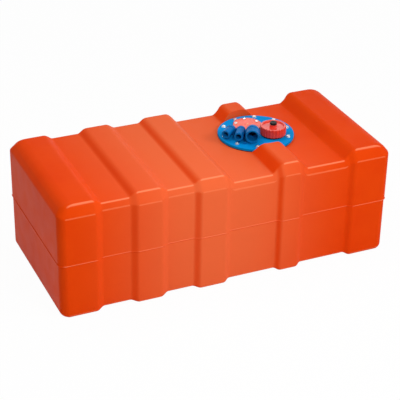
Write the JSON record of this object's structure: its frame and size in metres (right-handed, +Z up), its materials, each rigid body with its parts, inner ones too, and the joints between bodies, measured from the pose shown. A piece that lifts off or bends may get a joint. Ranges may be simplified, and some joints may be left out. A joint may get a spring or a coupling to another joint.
{
  "type": "fuel tank",
  "caption": "Hollow ribbed fuel tank that stands on its base, with a round fitting plate, hose elbows, a screw filler cap with a vent valve, and a float level sender.",
  "frame": {"origin": "middle of the face the tank stands on, under the middle of its length and width", "axes": "+X along the tank towards the end nearer the fitting plate, +Y to the back, away from the hose ends, +Z up"},
  "size_m": [0.808, 0.362, 0.2982],
  "materials": {
    "tank_orange": "rotationally moulded polyethylene, satin, faintly grained",
    "plate_blue": "moulded nylon, semi-gloss",
    "elbow_blue": "moulded nylon, semi-gloss",
    "cap_red": "moulded nylon, glossy",
    "sender_red": "moulded nylon, glossy",
    "neck_black": "moulded nylon, satin",
    "knob_black": "moulded nylon, satin",
    "housing_black": "moulded acetal, satin",
    "seal_rubber": "nitrile rubber",
    "stainless": "stainless steel, turned and tumbled",
    "insert_brass": "turned brass",
    "float_foam": "closed-cell nitrile foam",
    "pickup_nylon": "natural nylon"
  },
  "bodies": {
    "tank": {"tank_shell": "tank_orange", "threaded_inserts": "insert_brass", "plate_gasket": "seal_rubber", "fitting_plate": "plate_blue", "plate_washers": "stainless", "plate_screws": "stainless", "sender_gasket": "seal_rubber", "sender_flange": "sender_red", "sender_screws": "stainless", "sender_terminal": "insert_brass", "sender_bracket": "stainless", "sender_resistor": "housing_black", "pivot_pin": "stainless", "filler_neck": "neck_black", "neck_seal": "seal_rubber", "neck_nut": "neck_black", "filler_elbow": "elbow_blue", "filler_seal": "seal_rubber", "filler_nut": "elbow_blue", "outlet_elbow": "elbow_blue", "outlet_seal": "seal_rubber", "outlet_nut": "elbow_blue", "vent_elbow": "elbow_blue", "vent_seal": "seal_rubber", "vent_nut": "elbow_blue", "blanking_plug": "elbow_blue", "pickup_tube": "pickup_nylon", "pickup_strainer": "pickup_nylon"},
    "cap_seal": {"cap_gasket": "seal_rubber"},
    "cap": {"filler_cap": "cap_red", "vent_ring": "seal_rubber"},
    "vent_valve": {"vent_knob": "knob_black"},
    "float_lever": {"float_arm": "stainless", "float_body": "float_foam", "float_clip": "stainless"}
  },
  "joints": [
    {"name": "cap_lift", "type": "slide", "parent": "tank", "child": "cap_seal", "axis": [0, 0, 1], "range_m": [0, 0.0063]},
    {"name": "cap_turn", "type": "hinge", "parent": "cap_seal", "child": "cap", "pos_m": [0.1875, 0.0005, 0.277], "axis": [0, 0, 1], "range_deg": [0, 450]},
    {"name": "vent_turn", "type": "hinge", "parent": "cap", "child": "vent_valve", "pos_m": [0.1875, 0.0005, 0.286], "axis": [0, 0, 1], "range_deg": [0, 90]},
    {"name": "float_swing", "type": "hinge", "parent": "tank", "child": "float_lever", "pos_m": [0.153, 0.0685, 0.125], "axis": [0, -1, 0], "range_deg": [0, 90]}
  ],
  "couplings": [
    {"joint": "cap_lift", "follows": "cap_turn", "m_per_rad": 0.00079577}
  ]
}
